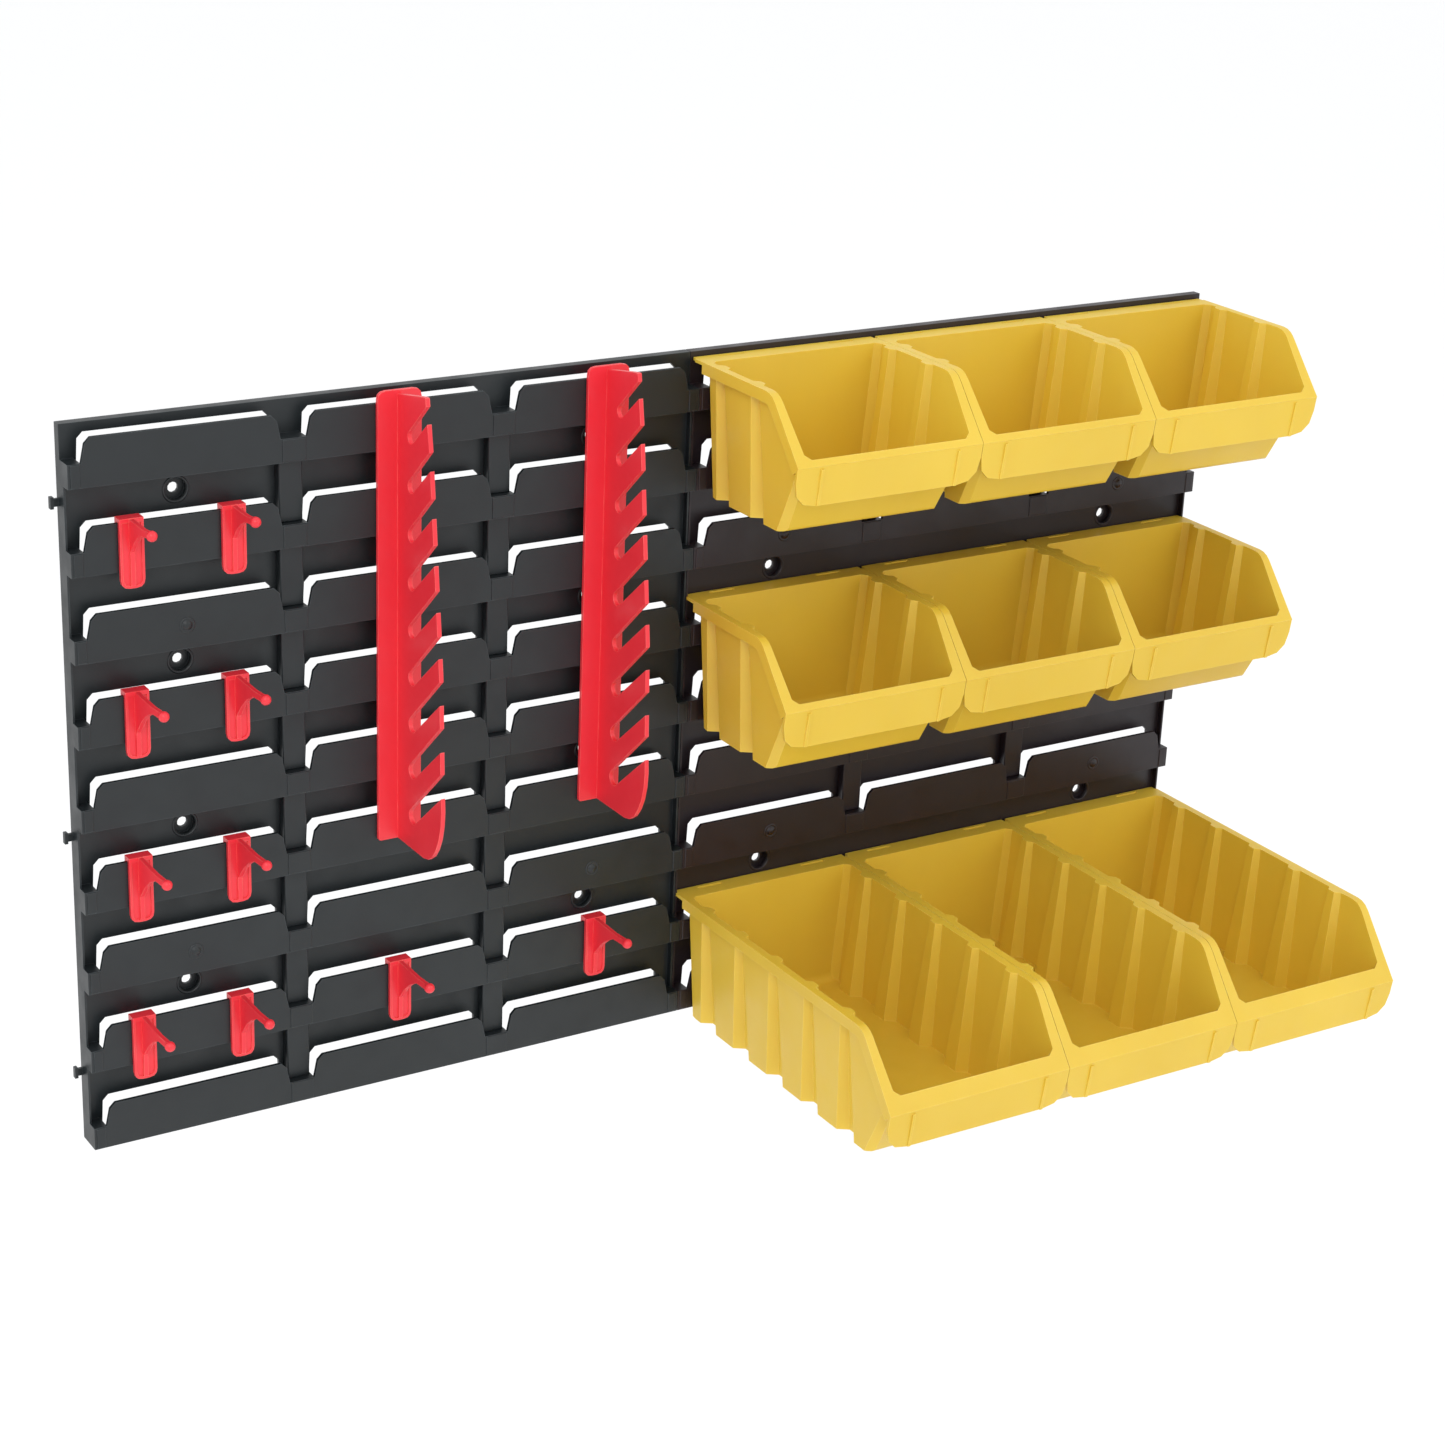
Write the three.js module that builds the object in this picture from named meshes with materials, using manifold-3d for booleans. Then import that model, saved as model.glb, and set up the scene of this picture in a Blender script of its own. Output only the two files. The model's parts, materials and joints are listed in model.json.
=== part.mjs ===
// Pegboard tool wall: two louvred wall panels that clip together side by side, with
// storage bins, wrench racks and tool hooks hung over the louvre tabs.
// Frame: X to the right along the wall, Y into the wall (the wall is the plane Y = 0),
// Z up. The origin is on the wall, at the middle of the seam between the two panels.
// Units are millimetres. Every hung piece is drawn in a local frame whose Y = 0 is the
// wall and whose Z = 0 is the top edge of the louvre tab that carries it.

import * as THREE from 'three';
import { mergeVertices } from 'three/addons/utils/BufferGeometryUtils.js';
import Module from 'manifold-3d';

const wasm = await Module();
wasm.setup();

// ---- driving dimensions --------------------------------------------------------------

const GAP = 0.3;                  // running gap between pieces that touch
const WALL = 1.8;                 // moulded wall thickness

const PANEL_PITCH = 350;
const PANEL_WIDTH = 349.6;
const PANEL_HEIGHT = 385;
const ROWS = 9;
const COLS = 3;
const ROW_PITCH = 44.4;
const COL_PITCH = 116.6;
const TOP_MARGIN = 5;             // panel top edge to the first row of tabs
const PLATE_FRONT = -5.5;         // front face of the base plate
const PLATE_BACK = -3.5;
const BAND_FRONT = -16;           // front face of the louvre bands
const BAND_BACK = -14;
const BAND_HEIGHT = 24.8;         // tab top to band bottom
const TAB_DROP = 12.5;            // tab top to the floor of the notch beside it
const TAB_HALF = 49.25;           // half width of a tab at its top
const TAB_FLARE = 2;              // extra half width at the notch floor
const TAB_CHAMFER = 3;
const EDGE_RIB = 4;               // height of the ribs down the panel's side edges
const EDGE_RIB_THICK = 1;
const SCREW_DROP = 34.4;          // tab top to the screw hole below it
const SCREW_ROWS = [0, 2, 4, 6];
const SCREW_COLS = [0, 2];
const SCREW_R = 2.75;
const SINK_R = 6;                 // counterbore for the screw head
const BOSS_R = 7.8;
const CLIP_DROPS = [34.5, 209.1, 340.5];   // side clips, below the first row of tabs

const BIN_WIDTH = 116.2;
const BIN_HEIGHT = 75;
const RIM_TOP = GAP + WALL;       // rim height above the tab it rests on
const RIM_BACK = -6.3;
const RIM_SKIRT = 6.5;
const RIM_SHOULDER = 12;          // radius where the rim turns down towards the lip
const BIN_BACK = -17;             // outer face of a bin's back wall
const APRON_HEIGHT = 22;
const APRON_CORNER = 14;
const APRON_LEAN = 3.5;           // how far the apron's foot sits behind its top
const LABEL_HALF = 43;            // half width of the label frame on the apron
const LABEL_PROUD = 0.7;
const FRONT_LEAN = 8 / 15;        // how fast a bin's front wall leans forward as it rises
const BODY_CORNERS = [7, 5];      // radii of the floor's back and front corners
const BODY_TOP = { pad: 55.5, floor: 52.5, step: 2.5, corner: 4 };
const BODY_FOOT = { pad: 50.5, floor: 44.5, step: 4, corner: 5 };
const GROOVE_TOP = 1.5;           // half width of a side groove at the rim
const TONGUE_DROP = 10;           // how far hanging tongues reach down behind a tab
const TONGUE_X = [27, 43];        // a bin's two tongues, measured from its middle

// Groove depths are measured from the wall; a groove's foot is half its floor width there.
const SMALL_BIN = {
  reach: 113.5, footBack: 25, slopeRun: 28, lipDrop: 33,
  grooves: 2, firstGroove: 31, groovePitch: 34.4, grooveFoot: 2.5,
};
const LARGE_BIN = {
  reach: 228.5, footBack: 28, slopeRun: 30, lipDrop: 38,
  grooves: 5, firstGroove: 38, groovePitch: 35.1, grooveFoot: 4.5,
};
const BIN_ROWS = [
  { row: 0, kind: 'small', level: 'top', bin: SMALL_BIN },
  { row: 3, kind: 'small', level: 'middle', bin: SMALL_BIN },
  { row: 7, kind: 'large', level: 'bottom', bin: LARGE_BIN },
];
const SIDES = ['left', 'centre', 'right'];

const CLIP_THICK = 2.1;           // front plate of a hook or rack
const CLIP_FRONT = BAND_FRONT - GAP - CLIP_THICK;
const CLIP_TOP = GAP + 2.2;

const HOOK_WIDTH = 12.4;
const HOOK_HEIGHT = 35.5;
const HOOK_RIB = 2.4;
const HOOK_BORDER = 1.3;          // raised border around a hook's plate
const HOOK_RECESS = 0.7;
const HOOK_FOOT_R = 4.5;
const ARM_HALF = 1.7;             // half thickness of the arm near its knob
const ARM_NECK = 0.62;            // where the arm becomes even, as a share of its length
// Underside of the web that carries the arm: out from the plate and down, as shares of its length.
const WEB = [[0.012, -0.56], [0.22, -0.32], [0.4, -0.17]];
const KNOB_R = 2.75;
const KNOB_RISE = 1;              // middle of the knob above the tab top
const SHORT_ARM = 26;             // plate face to the middle of the knob
const LONG_ARM = 34.5;
const HOOKS = [
  { row: 1, col: 0, x: -28, arm: SHORT_ARM },
  { row: 1, col: 0, x: 25, arm: SHORT_ARM },
  { row: 3, col: 0, x: -28, arm: LONG_ARM },
  { row: 3, col: 0, x: 25, arm: LONG_ARM },
  { row: 5, col: 0, x: -29, arm: LONG_ARM },
  { row: 5, col: 0, x: 24, arm: LONG_ARM },
  { row: 7, col: 0, x: -30, arm: LONG_ARM },
  { row: 7, col: 0, x: 24, arm: LONG_ARM },
  { row: 7, col: 1, x: -1.5, arm: LONG_ARM },
  { row: 7, col: 2, x: 2, arm: LONG_ARM },
];

const RACK_HEIGHT = 238.8;
const RACK_CREST = 4;             // how far the flange stands above the strap behind it
const RACK_FLANGE = 24.4;
const RACK_PLATE = 2.4;
const RACK_SLOTS = 9;
const RACK_SLOT_PITCH = 25.42;
const RACK_FIRST_ROOT = 14.6;     // tab top down to the root of the first slot
const RACK_ROOT_DEPTHS = [14.5, 17.5];   // plate face out to the first and the last root
const RACK_SLOT_ANGLE = THREE.MathUtils.degToRad(41.5);
const RACK_SLOT_SIZES = [6.4, 8.4];      // root width of the first and the last slot
const RACK_SLOT_FLARE = 0.04;     // how much a slot widens per millimetre of its length
const RACK_REACH = [31, 49.5];    // plate face out to the first and the last tooth
const RACK_SPOTS = [{ side: 'left', col: 1, x: -2 }, { side: 'right', col: 2, x: 1.5 }];

// ---- colours and materials -----------------------------------------------------------

const PANEL_BLACK = { name: 'panel_black', color: 0x2b3033, roughness: 0.45 };
const BIN_YELLOW = { name: 'bin_yellow', color: 0xecc43c, roughness: 0.42 };
const HOOK_RED = { name: 'hook_red', color: 0xe8303a, roughness: 0.4 };

// ---- solid helpers -------------------------------------------------------------------

const FAR = 1000;                 // past everything, for solids that only cut

const snap = (value) => Math.round(value * 1000) / 1000;

// A closed geometry as a solid that can be joined and cut. Corners are snapped to a
// micrometre grid, so that faces meant to share a plane share it exactly.
function solid(geometry) {
  const bare = geometry.index ? geometry.toNonIndexed() : geometry.clone();
  for (const name of Object.keys(bare.attributes)) {
    if (name !== 'position') bare.deleteAttribute(name);
  }
  const merged = mergeVertices(bare, 1e-4);
  return new wasm.Manifold(new wasm.Mesh({
    numProp: 3,
    vertProperties: Float32Array.from(merged.attributes.position.array, snap),
    triVerts: new Uint32Array(merged.index.array),
  }));
}

function geometryOf(body) {
  const mesh = body.getMesh();
  const geometry = new THREE.BufferGeometry();
  geometry.setAttribute('position', new THREE.BufferAttribute(new Float32Array(mesh.vertProperties), 3));
  geometry.setIndex(new THREE.BufferAttribute(new Uint32Array(mesh.triVerts), 1));
  geometry.computeVertexNormals();
  return geometry;
}

const join = (...bodies) => bodies.flat().reduce((whole, next) => whole.add(next));
const cut = (body, ...tools) => tools.flat().reduce((rest, tool) => rest.subtract(tool), body);

function box(x, y, z) {
  const geometry = new THREE.BoxGeometry(x[1] - x[0], y[1] - y[0], z[1] - z[0]);
  geometry.translate((x[0] + x[1]) / 2, (y[0] + y[1]) / 2, (z[0] + z[1]) / 2);
  return solid(geometry);
}

function shapeOf(outline) {
  if (outline instanceof THREE.Shape) return outline;
  return new THREE.Shape(outline.map(([u, v]) => new THREE.Vector2(u, v)));
}

function extruded(outline, depth, curveSegments) {
  const options = { depth, bevelEnabled: false, steps: 1, curveSegments };
  return new THREE.ExtrudeGeometry(shapeOf(outline), options);
}

// An outline drawn in (y, z), extruded along X.
function prismX(outline, x, curveSegments = 3) {
  const geometry = extruded(outline, x[1] - x[0], curveSegments);
  geometry.applyMatrix4(new THREE.Matrix4().set(0, 0, 1, x[0], 1, 0, 0, 0, 0, 1, 0, 0, 0, 0, 0, 1));
  return solid(geometry);
}

// An outline drawn in (x, z), extruded along Y.
function prismY(outline, y, curveSegments = 3) {
  const geometry = extruded(outline, y[1] - y[0], curveSegments);
  geometry.applyMatrix4(new THREE.Matrix4().set(1, 0, 0, 0, 0, 0, -1, y[1], 0, 1, 0, 0, 0, 0, 0, 1));
  return solid(geometry);
}

function cylinderY(radius, y, x, z, segments) {
  const geometry = new THREE.CylinderGeometry(radius, radius, y[1] - y[0], segments);
  geometry.translate(0, (y[0] + y[1]) / 2, 0);
  geometry.translate(x, 0, z);
  return solid(geometry);
}

// A solid between two closed outlines that have the same number of (x, y) points.
function loft(lower, zLower, upper, zUpper) {
  const count = lower.length;
  const points = [];
  lower.forEach(([x, y]) => points.push(x, y, zLower));
  upper.forEach(([x, y]) => points.push(x, y, zUpper));
  const faces = [];
  for (let i = 0; i < count; i += 1) {
    const j = (i + 1) % count;
    faces.push(i, j, count + j, i, count + j, count + i);
  }
  const capOf = (outline) => THREE.ShapeUtils.triangulateShape(
    outline.map(([x, y]) => new THREE.Vector2(x, y)), []);
  capOf(lower).forEach(([a, b, c]) => faces.push(a, c, b));
  capOf(upper).forEach(([a, b, c]) => faces.push(count + a, count + b, count + c));
  const geometry = new THREE.BufferGeometry();
  geometry.setAttribute('position', new THREE.Float32BufferAttribute(points, 3));
  geometry.setIndex(faces);
  return solid(geometry);
}

// An outline through the given corners, with the corners that have a radius rounded.
function rounded(corners) {
  const path = new THREE.Shape();
  corners.forEach(([u, v, radius = 0], i) => {
    const here = new THREE.Vector2(u, v);
    const before = new THREE.Vector2(...corners.at(i - 1));
    const after = new THREE.Vector2(...corners[(i + 1) % corners.length]);
    const toBefore = before.sub(here).normalize();
    const toAfter = after.sub(here).normalize();
    const half = Math.acos(toBefore.dot(toAfter)) / 2;
    const run = radius / Math.tan(half);
    const start = here.clone().addScaledVector(toBefore, run);
    const end = here.clone().addScaledVector(toAfter, run);
    if (i === 0) {
      path.moveTo(start.x, start.y);
    } else {
      path.lineTo(start.x, start.y);
    }
    if (radius > 0) path.quadraticCurveTo(u, v, end.x, end.y);
  });
  path.closePath();
  return path;
}

// ---- panel ---------------------------------------------------------------------------

const panelTop = PANEL_HEIGHT / 2;
const rowZ = (row) => panelTop - TOP_MARGIN - row * ROW_PITCH;
const colX = (col) => (col - (COLS - 1) / 2) * COL_PITCH;
const panelX = { left: -PANEL_PITCH / 2, right: PANEL_PITCH / 2 };
const rows = Array.from({ length: ROWS }, (_, i) => i);
const cols = Array.from({ length: COLS }, (_, i) => i);

// Half the outline of a tab in (x, z), from its foot up to its top: the sides lean
// outward and the top corners are chamfered.
const TAB_SIDE = [
  [TAB_HALF + TAB_FLARE, -TAB_DROP],
  [TAB_HALF, -TAB_CHAMFER],
  [TAB_HALF - TAB_CHAMFER, 0],
];

// The slot moulded through the base plate behind a tab, down to the shelf.
function slotOutline(x, z) {
  const right = [[TAB_HALF + TAB_FLARE / 2, 2 * GAP + WALL - BAND_HEIGHT], ...TAB_SIDE.slice(1)];
  const left = right.map(([u, v]) => [-u, v]).reverse();
  return [...right, ...left].map(([u, v]) => [x + u, z + v]);
}

// The front wall of a band: a strip across the whole panel with three upstanding tabs.
function bandOutline(z) {
  const edge = PANEL_WIDTH / 2;
  const tops = cols.flatMap((col) => {
    const left = TAB_SIDE.map(([u, v]) => [colX(col) - u, v]);
    const right = TAB_SIDE.map(([u, v]) => [colX(col) + u, v]).reverse();
    return [...left, ...right];
  });
  const strip = [
    [edge, -BAND_HEIGHT],
    [edge, -TAB_DROP],
    ...tops.reverse(),
    [-edge, -TAB_DROP],
    [-edge, -BAND_HEIGHT],
  ];
  return strip.map(([u, v]) => [u, z + v]);
}

// The stretches of a band between its tabs and beyond the outer ones, along X.
function notchSpans() {
  const edge = PANEL_WIDTH / 2;
  const notchHalf = COL_PITCH / 2 - TAB_HALF - TAB_FLARE;
  return [-1.5, -0.5, 0.5, 1.5].map((step) => [
    Math.max(step * COL_PITCH - notchHalf, -edge),
    Math.min(step * COL_PITCH + notchHalf, edge),
  ]);
}

// One louvre band: the front wall, and behind it a block under every notch and a shelf
// between them that ties the wall to the base plate.
function band(z) {
  const edge = PANEL_WIDTH / 2;
  const bottom = z - BAND_HEIGHT;
  const floor = z - TAB_DROP;
  const shelf = box([-edge, edge], [BAND_BACK, PLATE_FRONT], [bottom, bottom + WALL]);
  const blocks = notchSpans().map((span) => box(span, [BAND_BACK, PLATE_FRONT], [bottom, floor]));
  return [prismY(bandOutline(z), [BAND_FRONT, BAND_BACK]), shelf, ...blocks];
}

// Clips on the left edge are T-shaped studs; the right edge has matching open slots.
const CLIP = { neckY: [-2.6, -0.9], neckZ: 2, headY: [-3.2, -GAP], headZ: 3, neck: 2.7, head: 1.7 };

function clipStud(z) {
  const edge = -PANEL_WIDTH / 2;
  return join(
    box([edge - CLIP.neck, edge], CLIP.neckY, [z - CLIP.neckZ, z + CLIP.neckZ]),
    box([edge - CLIP.neck - CLIP.head, edge - CLIP.neck], CLIP.headY, [z - CLIP.headZ, z + CLIP.headZ]),
  );
}

// The slot is open to the back and cut through the rim, with room behind it for the head.
function clipSlot(z) {
  const edge = PANEL_WIDTH / 2;
  const back = [PLATE_BACK, 1];
  const neck = CLIP.neckZ + 0.4;
  const head = CLIP.headZ + 0.6;
  return join(
    box([edge - 2 * WALL, edge + 1], back, [z - neck, z + neck]),
    box([edge - 3 * WALL, edge - WALL], back, [z - head, z + head]),
  );
}

function panel() {
  const half = PANEL_WIDTH / 2;
  const back = [PLATE_BACK, 0];
  const screws = SCREW_ROWS.flatMap((row) => SCREW_COLS.map((col) => [colX(col), rowZ(row) - SCREW_DROP]));

  const slab = box([-half, half], [PLATE_FRONT, 0], [-panelTop, panelTop]);
  const hollow = box([-half + WALL, half - WALL], [PLATE_BACK, 1], [-panelTop + WALL, panelTop - WALL]);
  const backRibs = [-0.5, 0.5].map((step) => (
    box([step * COL_PITCH - WALL / 2, step * COL_PITCH + WALL / 2], back, [-panelTop, panelTop])));
  const edges = [[-half, -half + EDGE_RIB_THICK], [half - EDGE_RIB_THICK, half]];
  const edgeRibs = rows.slice(0, -1).flatMap((row) => edges.map((x) => (
    box(x, [PLATE_FRONT - EDGE_RIB, PLATE_FRONT], [rowZ(row + 1) - TAB_DROP, rowZ(row) - BAND_HEIGHT]))));
  const bosses = screws.map(([x, z]) => cylinderY(BOSS_R, [PLATE_FRONT, 0], x, z, 10));
  const studs = CLIP_DROPS.map((drop) => clipStud(rowZ(0) - drop));
  const bands = rows.flatMap((row) => band(rowZ(row)));
  const body = join(cut(slab, hollow), backRibs, edgeRibs, bosses, studs, bands);

  const through = [PLATE_FRONT - 0.1, PLATE_BACK + 0.1];
  const slots = rows.flatMap((row) => cols.map((col) => (
    prismY(slotOutline(colX(col), rowZ(row)), through))));
  const sinks = screws.map(([x, z]) => cylinderY(SINK_R, [PLATE_FRONT - 1, -WALL], x, z, 14));
  const holes = screws.map(([x, z]) => cylinderY(SCREW_R, [PLATE_FRONT, 1], x, z, 10));
  const clipSlots = CLIP_DROPS.map((drop) => clipSlot(rowZ(0) - drop));
  return cut(body, slots, sinks, holes, clipSlots);
}

// ---- bin -----------------------------------------------------------------------------

// A bin's plan at one height. Its sides carry flat pads with grooves between them.
function binOutline({ back, front, pad, floor, grooveHalf, grooves, step, corner }) {
  const side = [[pad - corner, back], [pad, back - corner]];
  for (const y of grooves) {
    side.push(
      [pad, y + grooveHalf + step],
      [floor, y + grooveHalf],
      [floor, y - grooveHalf],
      [pad, y - grooveHalf - step],
    );
  }
  side.push([pad, front + corner], [pad - corner, front]);
  const mirrored = side.map(([x, y]) => [-x, y]).reverse();
  return [...side, ...mirrored].reverse();
}

const binFloor = RIM_TOP - BIN_HEIGHT;
const frontWallAt = (kind, z) => -kind.reach + kind.footBack - FRONT_LEAN * (z - binFloor);

// The body of a bin without its rim, shrunk all round by the inset. The grooved sides are
// lofted, and the side view gives the back, the leaning front and the rounded floor.
function binBody(kind, inset) {
  const spare = 1;
  const topZ = RIM_TOP + spare;
  const floorZ = binFloor + inset;
  const grooves = Array.from({ length: kind.grooves }, (_, i) => (
    -kind.firstGroove - i * kind.groovePitch));
  const planAt = ({ pad, floor, step, corner }, grooveHalf, z) => binOutline({
    grooves,
    step,
    corner,
    pad: pad - inset,
    floor: floor - inset,
    grooveHalf: grooveHalf + inset / 2,
    back: BIN_BACK - inset + spare,
    front: frontWallAt(kind, z) + inset - spare,
  });
  const sides = loft(
    planAt(BODY_FOOT, kind.grooveFoot, floorZ - spare), floorZ - spare,
    planAt(BODY_TOP, GROOVE_TOP, topZ), topZ,
  );
  const [backCorner, frontCorner] = BODY_CORNERS;
  const profile = rounded([
    [BIN_BACK - inset, topZ + spare],
    [BIN_BACK - inset, floorZ, backCorner - inset],
    [frontWallAt(kind, floorZ) + inset, floorZ, frontCorner - inset],
    [frontWallAt(kind, topZ + spare) + inset, topZ + spare],
  ]);
  return sides.intersect(prismX(profile, [-BIN_WIDTH, BIN_WIDTH]));
}

// The apron hangs from the lip in front of the leaning front wall and frames a label.
function binApron(lipY, lipZ) {
  const half = BIN_WIDTH / 2;
  const footZ = lipZ - APRON_HEIGHT;
  const face = (proud, drop, z) => [
    [lipY + GAP - proud, lipZ - drop],
    [lipY + APRON_LEAN - proud, z],
    [lipY + APRON_LEAN + WALL, z],
    [lipY + GAP + WALL, lipZ - drop],
  ];
  const outline = rounded([
    [-half, lipZ + WALL],
    [-half, footZ, APRON_CORNER],
    [half, footZ, APRON_CORNER],
    [half, lipZ + WALL],
  ]);
  const sheet = prismX(face(0, 0, footZ - 1), [-half, half]);
  const frame = [-LABEL_HALF, LABEL_HALF].map((x) => (
    prismX(face(LABEL_PROUD, WALL, footZ), [x - WALL / 2, x + WALL / 2])));
  return [sheet.intersect(prismY(outline, [lipY - WALL, 0])), ...frame];
}

function bin(kind) {
  const half = BIN_WIDTH / 2;
  const lipY = -kind.reach;
  const lipZ = RIM_TOP - kind.lipDrop;
  const shoulderY = lipY + kind.slopeRun;
  const slope = new THREE.Vector2(kind.slopeRun, kind.lipDrop).normalize();
  const seat = WALL / 2;
  const rimX = [-half, half];
  const sides = [-1, 1];

  // Side view of the rim as a ribbon of the given depth, measured square to the slope.
  const ribbon = (depth) => rounded([
    [RIM_BACK, RIM_TOP],
    [RIM_BACK, RIM_TOP - depth],
    [shoulderY + depth / 2, RIM_TOP - depth, RIM_SHOULDER - depth],
    [lipY + depth * slope.y, lipZ - depth * slope.x],
    [lipY, lipZ],
    [shoulderY, RIM_TOP, RIM_SHOULDER],
  ]);
  const underRim = [
    [FAR, RIM_TOP - seat],
    [FAR, -FAR],
    [lipY + seat, -FAR],
    [lipY + seat, lipZ],
    [shoulderY + seat, RIM_TOP - seat],
  ];
  const body = binBody(kind, 0).intersect(prismX(underRim, rimX));
  const skirts = cut(
    prismX(ribbon(RIM_SKIRT), rimX),
    box([-half + WALL, half - WALL], [-FAR, FAR], [-FAR, FAR]),
    box(rimX, [BIN_BACK, FAR], [-FAR, GAP]),
  );

  // Gussets behind the apron tie its ends to the front wall.
  const gussetX = LABEL_HALF + WALL;
  const gussetZ = lipZ - APRON_HEIGHT / 2;
  const gussets = sides.map((side) => prismX([
    [lipY + WALL, lipZ - WALL],
    [lipY + APRON_LEAN + seat, lipZ - APRON_HEIGHT + WALL],
    [frontWallAt(kind, gussetZ) + seat, gussetZ],
  ], [side * gussetX - seat, side * gussetX + seat]));

  const tongueX = sides.map((side) => TONGUE_X.map((x) => side * x).sort((a, b) => a - b));
  const tongueY = [BAND_BACK + GAP, BAND_BACK + GAP + WALL];
  const tongues = tongueX.map((x) => box(x, tongueY, [-TONGUE_DROP, RIM_TOP - seat]));
  const coreY = [tongueY[1] + WALL, tongueY[1] + 2 * WALL];
  const coreSlots = tongueX.map((x) => box(x, coreY, [0, RIM_TOP + 1]));

  // The rim's rear corners are cut away where it passes the panel's edge ribs.
  const ribFace = PANEL_WIDTH / 2 - EDGE_RIB_THICK - colX(COLS - 1) - GAP;
  const rearCorners = sides.map((side) => (
    box([side * half, side * ribFace].sort((a, b) => a - b), [PLATE_FRONT - EDGE_RIB - GAP, 0], [0, FAR])));

  const whole = join(body, prismX(ribbon(WALL), rimX), skirts, binApron(lipY, lipZ), gussets, tongues);
  return cut(whole, binBody(kind, WALL), coreSlots, rearCorners);
}

// ---- hook ----------------------------------------------------------------------------

// The strap that folds over a tab: a bridge on top and a tongue down behind the tab.
function overTab(width, drop) {
  const x = [-width / 2, width / 2];
  const behind = BAND_BACK + GAP;
  return join(
    box(x, [CLIP_FRONT, behind + WALL], [GAP, CLIP_TOP]),
    box(x, [behind, behind + WALL], [-drop, CLIP_TOP]),
  );
}

function hook(arm) {
  const half = HOOK_WIDTH / 2;
  const foot = CLIP_TOP - HOOK_HEIGHT;
  const face = CLIP_FRONT;
  const outline = (inset) => rounded([
    [-half + inset, foot + inset, HOOK_FOOT_R - inset],
    [half - inset, foot + inset, HOOK_FOOT_R - inset],
    [half - inset, CLIP_TOP - inset],
    [-half + inset, CLIP_TOP - inset],
  ]);
  const plate = cut(
    prismY(outline(0), [face, face + CLIP_THICK]),
    prismY(outline(HOOK_BORDER), [face - HOOK_RECESS, face + HOOK_RECESS]),
  );

  const inside = face + HOOK_RECESS + GAP;
  const neck = face - arm * ARM_NECK;
  const tip = face - arm;
  const rib = prismX([
    [inside, foot + HOOK_BORDER],
    [face - arm * WEB[0][0], foot + HOOK_BORDER],
    ...WEB.map(([out, down]) => [face - arm * out, arm * down]),
    [neck, -ARM_HALF],
    [tip, KNOB_RISE - ARM_HALF],
    [tip, KNOB_RISE + ARM_HALF],
    [neck, ARM_HALF],
    [inside, CLIP_TOP - GAP],
  ], [-HOOK_RIB / 2, HOOK_RIB / 2]);
  const ball = new THREE.SphereGeometry(KNOB_R, 8, 6);
  ball.translate(0, tip, KNOB_RISE);
  return join(plate, overTab(HOOK_WIDTH, TONGUE_DROP), rib, solid(ball));
}

// ---- wrench rack ---------------------------------------------------------------------

// A slot in (reach out from the wall plate's face, height): it runs down and back to a
// round root and widens towards its mouth.
function rackSlot(index) {
  const share = index / (RACK_SLOTS - 1);
  const rootHalf = THREE.MathUtils.lerp(...RACK_SLOT_SIZES, share) / 2;
  const rootDepth = THREE.MathUtils.lerp(...RACK_ROOT_DEPTHS, share);
  const root = new THREE.Vector2(rootDepth, -RACK_FIRST_ROOT - index * RACK_SLOT_PITCH);
  const run = 60;
  const along = new THREE.Vector2(Math.cos(RACK_SLOT_ANGLE), Math.sin(RACK_SLOT_ANGLE));
  const across = new THREE.Vector2(-along.y, along.x);
  const mouth = (side) => root.clone()
    .addScaledVector(along, run)
    .addScaledVector(across, side * (rootHalf + run * RACK_SLOT_FLARE / 2));
  const lower = mouth(-1);
  const upper = mouth(1);
  const shape = new THREE.Shape();
  shape.moveTo(lower.x, lower.y);
  shape.lineTo(upper.x, upper.y);
  const start = RACK_SLOT_ANGLE + Math.PI / 2;
  shape.absarc(root.x, root.y, rootHalf, start, start + Math.PI, false);
  shape.closePath();
  return shape;
}

// The plate before its slots are cut: it deepens towards a big rounded hook at its foot.
function rackBlank(foot) {
  const [topReach, footReach] = RACK_REACH;
  const heel = footReach - 19;
  const belly = footReach + 1;
  const crest = 7.3;
  const shape = new THREE.Shape();
  shape.moveTo(-1, foot);
  shape.lineTo(heel, foot);
  shape.bezierCurveTo(footReach - 8, foot, belly, foot + 16, belly, foot + 33);
  shape.lineTo(footReach, foot + 50);
  shape.lineTo(footReach - 2, foot + 105);
  shape.lineTo(topReach + 4.5, CLIP_TOP - 20);
  shape.lineTo(topReach, CLIP_TOP + crest);
  shape.lineTo(topReach - 2.5, CLIP_TOP + crest);
  shape.lineTo(0, CLIP_TOP + 2);
  shape.lineTo(-1, CLIP_TOP);
  shape.closePath();
  return shape;
}

function rack() {
  const half = RACK_FLANGE / 2;
  const foot = CLIP_TOP - RACK_HEIGHT;
  const crest = CLIP_TOP + RACK_CREST;
  const flange = prismY(rounded([
    [-half, foot, 1.5], [half, foot, 1.5], [half, crest, 4.5], [-half, crest, 4.5],
  ]), [CLIP_FRONT, CLIP_FRONT + CLIP_THICK]);
  // The outlines' first axis points out of the wall, which is -Y here.
  const toothPlate = (outline, thick) => {
    const geometry = extruded(outline, thick, 6);
    geometry.applyMatrix4(new THREE.Matrix4().set(
      0, 0, -1, thick / 2,
      -1, 0, 0, CLIP_FRONT,
      0, 1, 0, 0,
      0, 0, 0, 1,
    ));
    return solid(geometry);
  };
  const slots = Array.from({ length: RACK_SLOTS }, (_, i) => toothPlate(rackSlot(i), RACK_PLATE + 2));
  const toothed = cut(toothPlate(rackBlank(foot), RACK_PLATE), slots);
  return join(flange, overTab(RACK_FLANGE - 8, TONGUE_DROP), toothed);
}

// ---- assembly ------------------------------------------------------------------------

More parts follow.
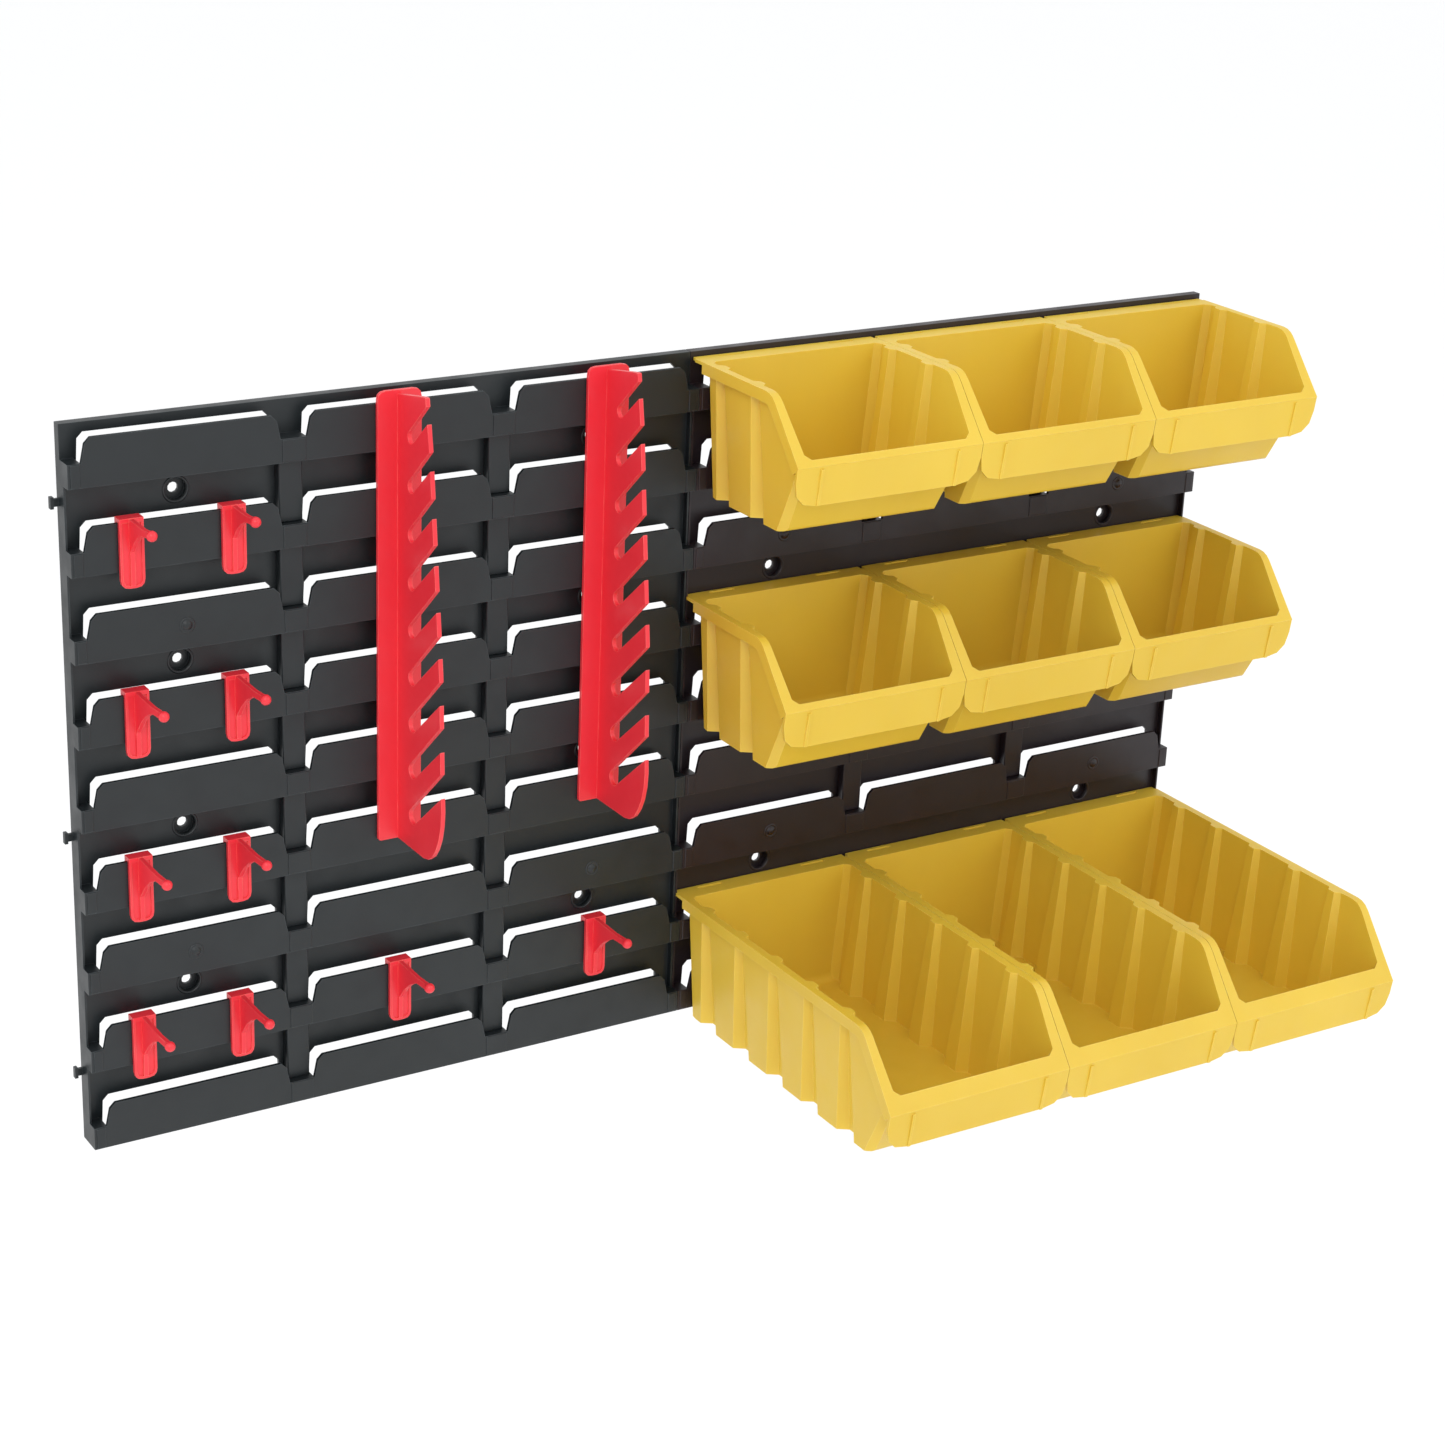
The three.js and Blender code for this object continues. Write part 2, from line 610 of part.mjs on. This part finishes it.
const wallUnit = new THREE.Group();

// Every piece gets a material of its own, named after the plastic it is moulded in.
function place(name, geometry, plastic, x, z) {
  const mesh = new THREE.Mesh(geometry, new THREE.MeshStandardMaterial({ ...plastic, metalness: 0 }));
  mesh.name = name;
  mesh.position.set(x, 0, z);
  wallUnit.add(mesh);
}

const panelGeometry = geometryOf(panel());
place('left_panel', panelGeometry, PANEL_BLACK, panelX.left, 0);
place('right_panel', panelGeometry, PANEL_BLACK, panelX.right, 0);

const binGeometry = new Map([SMALL_BIN, LARGE_BIN].map((kind) => [kind, geometryOf(bin(kind))]));
for (const { row, kind, level, bin: size } of BIN_ROWS) {
  SIDES.forEach((side, col) => {
    const x = panelX.right + colX(col);
    place(`${kind}_bin_${level}_${side}`, binGeometry.get(size), BIN_YELLOW, x, rowZ(row));
  });
}

const rackGeometry = geometryOf(rack());
for (const { side, col, x } of RACK_SPOTS) {
  place(`wrench_rack_${side}`, rackGeometry, HOOK_RED, panelX.left + colX(col) + x, rowZ(0));
}

const hookGeometry = new Map([SHORT_ARM, LONG_ARM].map((arm) => [arm, geometryOf(hook(arm))]));
HOOKS.forEach(({ row, col, x, arm }, i) => {
  const name = `${arm === SHORT_ARM ? 'short' : 'long'}_hook_${i + 1}`;
  place(name, hookGeometry.get(arm), HOOK_RED, panelX.left + colX(col) + x, rowZ(row));
});

export default wallUnit;
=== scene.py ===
"""Looks of the louvred tool wall: two clipped wall panels with bins, wrench racks and hooks.

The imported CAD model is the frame. Its nodes keep their meshes and get softened edges and
moulded-plastic materials, and small moulded details are added as pieces that ride with them.
"""

import json
import math

import bmesh
import bpy
from mathutils import Matrix, Vector


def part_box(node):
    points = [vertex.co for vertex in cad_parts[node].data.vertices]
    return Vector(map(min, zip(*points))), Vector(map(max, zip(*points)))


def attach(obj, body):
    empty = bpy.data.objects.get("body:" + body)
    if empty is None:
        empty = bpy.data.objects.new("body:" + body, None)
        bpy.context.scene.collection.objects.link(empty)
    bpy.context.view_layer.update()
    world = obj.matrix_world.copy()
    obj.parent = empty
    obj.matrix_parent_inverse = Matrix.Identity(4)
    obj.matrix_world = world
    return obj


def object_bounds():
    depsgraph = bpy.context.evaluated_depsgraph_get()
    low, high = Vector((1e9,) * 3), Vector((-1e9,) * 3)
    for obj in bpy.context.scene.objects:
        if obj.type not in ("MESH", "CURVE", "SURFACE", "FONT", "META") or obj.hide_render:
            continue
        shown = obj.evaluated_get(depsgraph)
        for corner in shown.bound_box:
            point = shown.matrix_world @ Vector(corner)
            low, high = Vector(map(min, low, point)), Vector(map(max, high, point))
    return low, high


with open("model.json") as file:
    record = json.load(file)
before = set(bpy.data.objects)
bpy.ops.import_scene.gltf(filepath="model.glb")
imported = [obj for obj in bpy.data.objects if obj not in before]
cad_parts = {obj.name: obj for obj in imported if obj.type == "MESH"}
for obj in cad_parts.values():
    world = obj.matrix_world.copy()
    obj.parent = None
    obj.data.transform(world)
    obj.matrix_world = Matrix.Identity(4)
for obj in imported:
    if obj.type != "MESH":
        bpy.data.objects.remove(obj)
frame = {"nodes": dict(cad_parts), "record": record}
NODES = frame["nodes"]
CAD_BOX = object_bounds()
SLOT_OF = {part["node"]: part["material_slot"] for part in frame["record"]["subparts"]}
MM = 0.001

# ---- driving values, in metres ---------------------------------------------------------

COLS = 3
ROWS = 9
ROW_PITCH = 44.4 * MM
COL_PITCH = 116.6 * MM
TOP_MARGIN = 5 * MM            # panel top edge to the first row of tabs
BAND_HEIGHT = 24.8 * MM        # tab top to band bottom
TAB_DROP = 12.5 * MM           # tab top to the notch floor beside it
PLATE_DEPTH = 5.5 * MM         # wall to the base plate's front
PANEL_WIDTH = 349.6 * MM
SEAT = 0.3 * MM                # how far a detail is sunk into the face that carries it
DETAIL_SOFTNESS = 0.15 * MM    # edge rounding of the added details

STRIP_HALF = 6.3 * MM          # strips that run down the panel under the notches
STRIP_PROUD = 0.45 * MM
STRIP_MARGIN = 1.3 * MM        # panel side to the half strips, clear of its edge ribs
COLUMN_PROUD = 5.8 * MM        # the same strips where they cross the recesses
BIN_ROWS = (0, 3, 7)           # rows of the right panel that carry bins
SCREW_DROP = 34.4 * MM
SCREW_ROWS = (0, 2, 4, 6)
OUTER_COLS = (0, 2)
SINK_RADIUS = 6 * MM
GATE_ROWS = (2, 6)             # rows with the round marks of the moulding gates
GATE_RADIUS = 4.2 * MM
# Outline of a gate mark from its foot to its middle: radius as a share of GATE_RADIUS, and
# height as a share of STRIP_PROUD.
GATE_OUTLINE = ((1, 0.3), (0.86, 1), (0.66, 0.4), (0.48, 2.2), (0.2, 3.2), (0, 3.4))
SINK_LIP = 0.45 * MM           # height of the rims round the screw holes
BACK_RIB = 1.4 * MM            # height of each back rib
BACK_RIB_BASE = 2 * MM         # wall to the base of the back ribs, before SEAT is taken off
BACK_RIB_PROUD = 1.8 * MM      # takes them forward to the back of the base plate
BACK_RIB_MARGIN = 8 * MM       # panel side to the ends of the back ribs
KNOB_RADIUS = 2.75 * MM
KNOB_FILL = 0.995              # inside the CAD ball's corners, outside its flat faces

CAMERA_AIM = Vector((0.0331, 0.0, -0.0264))
CAMERA_DISTANCE = 1.7133
CAMERA_AZIMUTH = -32.44        # degrees, 0 looks along +Y
CAMERA_ELEVATION = 21.19
CAMERA_ROLL = 2.35
CAMERA_LENS = 75.72            # millimetres, on a 36 mm sensor

EDGE_SOFTNESS = {"panel_black": 0.35 * MM, "bin_yellow": 0.45 * MM, "hook_red": 0.35 * MM}
EDGE_ANGLE = math.radians(35)  # edges that turn by more than this are rounded
FLAT_ANGLE = math.radians(0.6)
WELD_GAP = 0.005 * MM


# ---- camera, light and floor -----------------------------------------------------------

def make_camera():
    data = bpy.data.cameras.new("camera")
    data.lens = CAMERA_LENS
    data.sensor_width = 36
    data.clip_end = 50
    camera = bpy.data.objects.new("camera", data)
    bpy.context.scene.collection.objects.link(camera)
    azimuth = math.radians(CAMERA_AZIMUTH)
    elevation = math.radians(CAMERA_ELEVATION)
    back = Vector((
        math.sin(azimuth) * math.cos(elevation),
        -math.cos(azimuth) * math.cos(elevation),
        math.sin(elevation),
    ))
    aimed = (-back).to_track_quat("-Z", "Y").to_matrix().to_4x4()
    roll = Matrix.Rotation(math.radians(CAMERA_ROLL), 4, "Z")
    camera.matrix_world = Matrix.Translation(CAMERA_AIM + back * CAMERA_DISTANCE) @ aimed @ roll
    bpy.context.scene.camera = camera


def make_area_light(name, place, aim, size, power):
    data = bpy.data.lights.new(name, "AREA")
    data.energy = power
    data.size = size
    light = bpy.data.objects.new(name, data)
    bpy.context.scene.collection.objects.link(light)
    light.location = place
    light.rotation_euler = (Vector(aim) - Vector(place)).to_track_quat("-Z", "Y").to_euler()


def make_studio():
    scene = bpy.context.scene
    scene.view_settings.view_transform = "Standard"
    world = bpy.data.worlds.new("studio")
    world.use_nodes = True
    background = world.node_tree.nodes["Background"]
    background.inputs["Color"].default_value = (0.985, 0.992, 1.0, 1)
    background.inputs["Strength"].default_value = 1.0
    scene.world = world
    centre = (CAD_BOX[0] + CAD_BOX[1]) / 2
    make_area_light("key", (-1.5, -1.7, 1.7), centre, 1.3, 21)
    make_area_light("fill", (1.3, -2.0, 1.4), centre, 1.6, 8)


def make_floor():
    drop = 0.5
    reach = 9
    z = CAD_BOX[0].z - drop
    mesh = bpy.data.meshes.new("floor")
    corners = [(-reach, -reach, z), (reach, -reach, z), (reach, reach, z), (-reach, reach, z)]
    mesh.from_pydata(corners, [], [(0, 1, 2, 3)])
    floor = bpy.data.objects.new("floor", mesh)
    bpy.context.scene.collection.objects.link(floor)
    material = bpy.data.materials.new("pale_floor")
    material.use_nodes = True
    shader = material.node_tree.nodes["Principled BSDF"]
    shader.inputs["Base Color"].default_value = (1, 1, 1, 1)
    shader.inputs["Roughness"].default_value = 0.9
    mesh.materials.append(material)


# ---- materials -------------------------------------------------------------------------

class Tree:
    """A material's node tree with short calls for the nodes used here."""

    def __init__(self, name):
        self.material = bpy.data.materials.new(name)
        self.material.use_nodes = True
        self.tree = self.material.node_tree
        self.shader = self.tree.nodes["Principled BSDF"]
        self.coordinates = self.tree.nodes.new("ShaderNodeTexCoord").outputs["Object"]

    def link(self, output, node, socket):
        self.tree.links.new(output, node.inputs[socket])

    def noise(self, scale, detail=2.0, stretch=(1, 1, 1)):
        mapping = self.tree.nodes.new("ShaderNodeMapping")
        mapping.inputs["Scale"].default_value = stretch
        self.link(self.coordinates, mapping, "Vector")
        node = self.tree.nodes.new("ShaderNodeTexNoise")
        node.inputs["Scale"].default_value = scale
        node.inputs["Detail"].default_value = detail
        self.link(mapping.outputs["Vector"], node, "Vector")
        return node.outputs["Fac"]

    def ramp(self, value, low, high, low_at=0.0, high_at=1.0):
        node = self.tree.nodes.new("ShaderNodeMapRange")
        node.inputs["From Min"].default_value = low_at
        node.inputs["From Max"].default_value = high_at
        node.inputs["To Min"].default_value = low
        node.inputs["To Max"].default_value = high
        self.link(value, node, "Value")
        return node.outputs["Result"]

    def mix(self, factor, first, second):
        """Mixes two colours, each a tuple or the output of a node, by a factor from a node."""
        node = self.tree.nodes.new("ShaderNodeMix")
        node.data_type = "RGBA"
        for socket, colour in ((node.inputs[6], first), (node.inputs[7], second)):
            if isinstance(colour, tuple):
                socket.default_value = (*colour, 1)
            else:
                self.tree.links.new(colour, socket)
        self.tree.links.new(factor, node.inputs[0])
        return node.outputs[2]

    def edge_mask(self, radius):
        """Near one along outer edges and corners: where a rounded normal leaves the true one."""
        bevel = self.tree.nodes.new("ShaderNodeBevel")
        bevel.samples = 4
        bevel.inputs["Radius"].default_value = radius
        geometry = self.tree.nodes.new("ShaderNodeNewGeometry")
        dot = self.tree.nodes.new("ShaderNodeVectorMath")
        dot.operation = "DOT_PRODUCT"
        self.tree.links.new(bevel.outputs["Normal"], dot.inputs[0])
        self.tree.links.new(geometry.outputs["Normal"], dot.inputs[1])
        return self.ramp(dot.outputs["Value"], 1.0, 0.0, 0.86, 0.995)

    def bump(self, height, strength, distance, below=None):
        node = self.tree.nodes.new("ShaderNodeBump")
        node.inputs["Strength"].default_value = strength
        node.inputs["Distance"].default_value = distance
        self.link(height, node, "Height")
        if below is not None:
            self.link(below, node, "Normal")
        return node.outputs["Normal"]


def moulded_plastic(name, base, shade, worn, roughness, glow=0.0):
    """Injection-moulded plastic: drifting tone, flow streaks, fine grain and rubbed edges."""
    t = Tree(name)
    drift = t.ramp(t.noise(9, 3), 0.0, 1.0, 0.3, 0.7)
    streaks = t.ramp(t.noise(34, 4, (1, 1, 0.16)), 0.0, 0.35, 0.42, 0.72)
    colour = t.mix(drift, base, shade)
    colour = t.mix(streaks, colour, shade)
    rubbed = t.tree.nodes.new("ShaderNodeMath")
    rubbed.operation = "MULTIPLY"
    t.link(t.edge_mask(0.7 * MM), rubbed, 0)
    t.link(t.ramp(t.noise(120, 3), 0.15, 0.8, 0.35, 0.65), rubbed, 1)
    colour = t.mix(rubbed.outputs["Value"], colour, worn)
    t.link(colour, t.shader, "Base Color")
    gloss = t.ramp(t.noise(70, 4), roughness - 0.06, roughness + 0.09, 0.3, 0.7)
    t.link(gloss, t.shader, "Roughness")
    ripple = t.bump(t.noise(260, 2), 0.10, 0.25 * MM)
    grain = t.bump(t.noise(2600, 2), 0.16, 0.06 * MM, ripple)
    t.link(grain, t.shader, "Normal")
    if glow:
        t.shader.inputs["Subsurface Weight"].default_value = glow
        t.shader.inputs["Subsurface Radius"].default_value = (1.0, 0.55, 0.2)
        t.shader.inputs["Subsurface Scale"].default_value = 2.5 * MM
    return t.material


# Colours are linear: the plastic itself, its darker drifts, and its rubbed edges.
PLASTICS = {
    "left_panel": {
        "name": "left_panel_plastic",
        "base": (0.0085, 0.0125, 0.0148),
        "shade": (0.006, 0.009, 0.0105),
        "worn": (0.060, 0.074, 0.082),
        "roughness": 0.42,
    },
    # The right panel's plastic is a darker, maroon-tinted copy of the left one: painted shadow of
    # the bins, with a painted reddish reflection.
    "right_panel": {
        "name": "right_panel_plastic_painted_shade",
        "base": (0.0135, 0.0065, 0.0095),
        "shade": (0.008, 0.004, 0.006),
        "worn": (0.055, 0.040, 0.048),
        "roughness": 0.42,
    },
    "bin_yellow": {
        "name": "bin_plastic",
        "base": (0.75, 0.520, 0.048),
        "shade": (0.69, 0.465, 0.038),
        "worn": (0.87, 0.68, 0.15),
        "roughness": 0.44,
        "glow": 0.16,
    },
    "hook_red": {
        "name": "hook_plastic",
        "base": (0.82, 0.034, 0.050),
        "shade": (0.76, 0.022, 0.038),
        "worn": (0.93, 0.20, 0.17),
        "roughness": 0.38,
        "glow": 0.10,
    },
}


def dress_cad_nodes(materials):
    """Gives each CAD node its plastic and rounded edges; a bin's flat faces are merged first."""
    for name, node in NODES.items():
        slot = SLOT_OF[name]
        node.data.materials.clear()
        # Each panel gets its own plastic, so the right panel carries the painted shade and painted
        # reddish reflection.
        node.data.materials.append(materials.get(name) or materials[slot])
        for face in node.data.polygons:
            face.use_smooth = True
        weld = node.modifiers.new("weld", "WELD")
        weld.merge_threshold = WELD_GAP
        if slot == "bin_yellow":
            flats = node.modifiers.new("flats", "DECIMATE")
            flats.decimate_type = "DISSOLVE"
            flats.angle_limit = FLAT_ANGLE
        bevel = node.modifiers.new("edges", "BEVEL")
        bevel.width = EDGE_SOFTNESS[slot]
        bevel.segments = 2
        bevel.limit_method = "ANGLE"
        bevel.angle_limit = EDGE_ANGLE
        bevel.use_clamp_overlap = True
        shading = node.modifiers.new("shading", "WEIGHTED_NORMAL")
        shading.keep_sharp = True


# ---- moulded details -------------------------------------------------------------------

def raised_pad(mesh, x, z, base, proud):
    """A low block on a face that looks along -Y, with sloping sides: x and z are its spans."""
    slope = min(proud * 0.6, 0.5 * MM)
    rings = []
    for inset, y in ((0, base + SEAT), (0, base - proud + slope), (slope, base - proud)):
        low_x, high_x = x[0] + inset, x[1] - inset
        low_z, high_z = z[0] + inset, z[1] - inset
        corners = ((low_x, low_z), (high_x, low_z), (high_x, high_z), (low_x, high_z))
        rings.append([mesh.verts.new((u, y, v)) for u, v in corners])
    for near, far in zip(rings, rings[1:]):
        for i in range(4):
            j = (i + 1) % 4
            mesh.faces.new((near[i], near[j], far[j], far[i]))
    mesh.faces.new(rings[0][::-1])
    mesh.faces.new(rings[-1])


def turned(mesh, centre, profile, segments=40):
    """A ring or dome turned about a line along Y: the profile gives radius and depth."""
    rings = []
    for radius, y in profile:
        if radius == 0:
            rings.append([mesh.verts.new((centre[0], y, centre[1]))])
            continue
        angles = [2 * math.pi * i / segments for i in range(segments)]
        rings.append([
            mesh.verts.new((centre[0] + radius * math.cos(a), y, centre[1] + radius * math.sin(a)))
            for a in angles
        ])
    for near, far in zip(rings, rings[1:]):
        for i in range(segments):
            j = (i + 1) % segments
            if len(far) == 1:
                mesh.faces.new((near[i], near[j], far[0]))
            elif len(near) == 1:
                mesh.faces.new((near[0], far[j], far[i]))
            else:
                mesh.faces.new((near[i], near[j], far[j], far[i]))


def add_piece(name, mesh, body, material):
    bmesh.ops.recalc_face_normals(mesh, faces=mesh.faces)
    data = bpy.data.meshes.new(name)
    mesh.to_mesh(data)
    mesh.free()
    data.materials.append(material)
    for face in data.polygons:
        face.use_smooth = True
    piece = bpy.data.objects.new(name, data)
    bpy.context.scene.collection.objects.link(piece)
    bevel = piece.modifiers.new("edges", "BEVEL")
    bevel.width = DETAIL_SOFTNESS
    bevel.segments = 2
    bevel.limit_method = "ANGLE"
    bevel.angle_limit = EDGE_ANGLE
    shading = piece.modifiers.new("shading", "WEIGHTED_NORMAL")
    shading.keep_sharp = True
    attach(piece, body)


class Panel:
    """Where the rows and columns of one panel are, from its CAD box."""

    def __init__(self, side):
        self.name = f"{side}_panel"
        self.low, self.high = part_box(self.name)
        self.centre = self.high[0] - PANEL_WIDTH / 2
        self.front = self.low[1]
        self.plate = self.high[1] - PLATE_DEPTH
        self.bin_rows = BIN_ROWS if side == "right" else ()

    def x(self, col):
        return self.centre + (col - (COLS - 1) / 2) * COL_PITCH

    def z(self, row):
        return self.high[2] - TOP_MARGIN - row * ROW_PITCH

    def strip_spans(self):
        """The strips between the columns of tabs, and the half strips along the edges."""
        edge = PANEL_WIDTH / 2 - STRIP_MARGIN
        for step in (-1.5, -0.5, 0.5, 1.5):
            middle = step * COL_PITCH
            low = max(middle - STRIP_HALF, -edge)
            high = min(middle + STRIP_HALF, edge)
            yield self.centre + low, self.centre + high


def panel_strips(panel):
    """Strips down the bands, under the notches."""
    mesh = bmesh.new()
    trim = 0.4 * MM
    for span in panel.strip_spans():
        for row in range(ROWS):
            z = panel.z(row)
            height = (z - BAND_HEIGHT + trim, z - TAB_DROP - trim)
            raised_pad(mesh, span, height, panel.front, STRIP_PROUD)
    return mesh


def panel_gates(panel):
    mesh = bmesh.new()
    profile = [(GATE_RADIUS, panel.front + SEAT)]
    for share, height in GATE_OUTLINE:
        profile.append((share * GATE_RADIUS, panel.front - height * STRIP_PROUD))
    for row in GATE_ROWS:
        for col in OUTER_COLS:
            turned(mesh, (panel.x(col), panel.z(row) - TAB_DROP), profile)
    return mesh


def panel_columns(panel):
    """The same strips where they cross the recesses, left out where a bin's rim passes."""
    mesh = bmesh.new()
    overlap = 0.1 * MM
    for span in list(panel.strip_spans())[1:-1]:
        for row in range(ROWS - 1):
            if row + 1 in panel.bin_rows:
                continue
            bottom = panel.z(row + 1) - TAB_DROP - overlap
            height = (bottom, panel.z(row) - BAND_HEIGHT + overlap)
            raised_pad(mesh, span, height, panel.plate, COLUMN_PROUD)
    return mesh


def panel_screw_rims(panel):
    mesh = bmesh.new()
    profile = (
        (SINK_RADIUS - SINK_LIP, panel.plate + 3 * SINK_LIP),
        (SINK_RADIUS - SINK_LIP, panel.plate),
        (SINK_RADIUS, panel.plate - SINK_LIP),
        (SINK_RADIUS + 1.6 * SINK_LIP, panel.plate - SINK_LIP),
        (SINK_RADIUS + 3 * SINK_LIP, panel.plate + SEAT),
    )
    for row in SCREW_ROWS:
        for col in OUTER_COLS:
            turned(mesh, (panel.x(col), panel.z(row) - SCREW_DROP), profile)
    return mesh


def panel_back_ribs(panel):
    mesh = bmesh.new()
    half = PANEL_WIDTH / 2 - BACK_RIB_MARGIN
    span = (panel.centre - half, panel.centre + half)
    base = panel.high[1] - BACK_RIB_BASE + SEAT
    for row in range(1, ROWS):
        z = panel.z(row)
        raised_pad(mesh, span, (z, z + BACK_RIB), base, BACK_RIB_PROUD)
    return mesh


PANEL_DETAILS = {
    "strips": panel_strips,
    "gates": panel_gates,
    "columns": panel_columns,
    "screw_rims": panel_screw_rims,
    "back_ribs": panel_back_ribs,
}


def add_panel_details(side, material):
    panel = Panel(side)
    for detail, make in PANEL_DETAILS.items():
        add_piece(f"{panel.name}_{detail}", make(panel), "panels", material)


def add_knob(name, material):
    """The smooth ball at the end of a hook's arm."""
    low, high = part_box(name)
    centre = ((low[0] + high[0]) / 2, high[2] - KNOB_RADIUS)
    middle = low[1] + KNOB_RADIUS
    radius = KNOB_RADIUS * KNOB_FILL
    steps = 16
    arc = [math.pi * i / steps for i in range(steps + 1)]
    profile = [(radius * math.sin(a), middle - radius * math.cos(a)) for a in arc]
    profile[0] = (0, middle - radius)
    profile[-1] = (0, middle + radius)
    ball = bmesh.new()
    turned(ball, centre, profile, 32)
    add_piece(f"{name}_knob", ball, name, material)


make_camera()
make_studio()
make_floor()
MATERIALS = {key: moulded_plastic(**looks) for key, looks in PLASTICS.items()}
dress_cad_nodes(MATERIALS)
for side in ("left", "right"):
    add_panel_details(side, MATERIALS[f"{side}_panel"])
for hook in (name for name in NODES if "_hook_" in name):
    add_knob(hook, MATERIALS["hook_red"])
